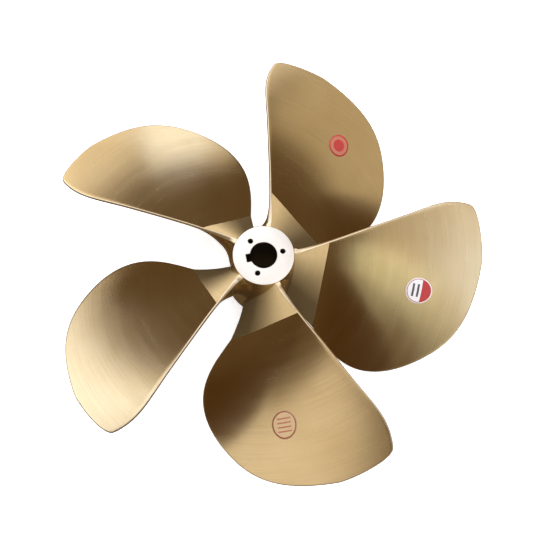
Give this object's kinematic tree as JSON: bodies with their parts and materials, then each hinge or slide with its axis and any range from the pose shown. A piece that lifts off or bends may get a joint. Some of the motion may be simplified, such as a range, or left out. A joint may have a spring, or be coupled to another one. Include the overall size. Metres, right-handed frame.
{
  "type": "boat propeller",
  "caption": "Wide-bladed, right-handed, fixed-pitch bronze boat propeller with a keyed, tapered shaft bore and tapped puller holes.",
  "frame": {"origin": "on the shaft axis at the centre of mass, 72 mm forward of the hub's aft face and about half way along the hub", "axes": "+Z along the shaft axis towards aft, so the pressure faces look up; the first blade's line is 74.7 degrees anticlockwise of +X as seen from aft"},
  "size_m": [0.6787, 0.6919, 0.1612],
  "materials": {
    "blade_bronze": "satin, finely brushed",
    "hub_bronze": "bright machined",
    "red_film": "printed film",
    "white_film": "printed film",
    "stamp_film": "ink print"
  },
  "bodies": {
    "root": {"hub": "hub_bronze", "blade_1": "blade_bronze", "blade_2": "blade_bronze", "blade_3": "blade_bronze", "blade_4": "blade_bronze", "blade_5": "blade_bronze", "emblem_label": "red_film", "two_tone_label": "white_film", "ring_stamp": "stamp_film"}
  },
  "joints": []
}
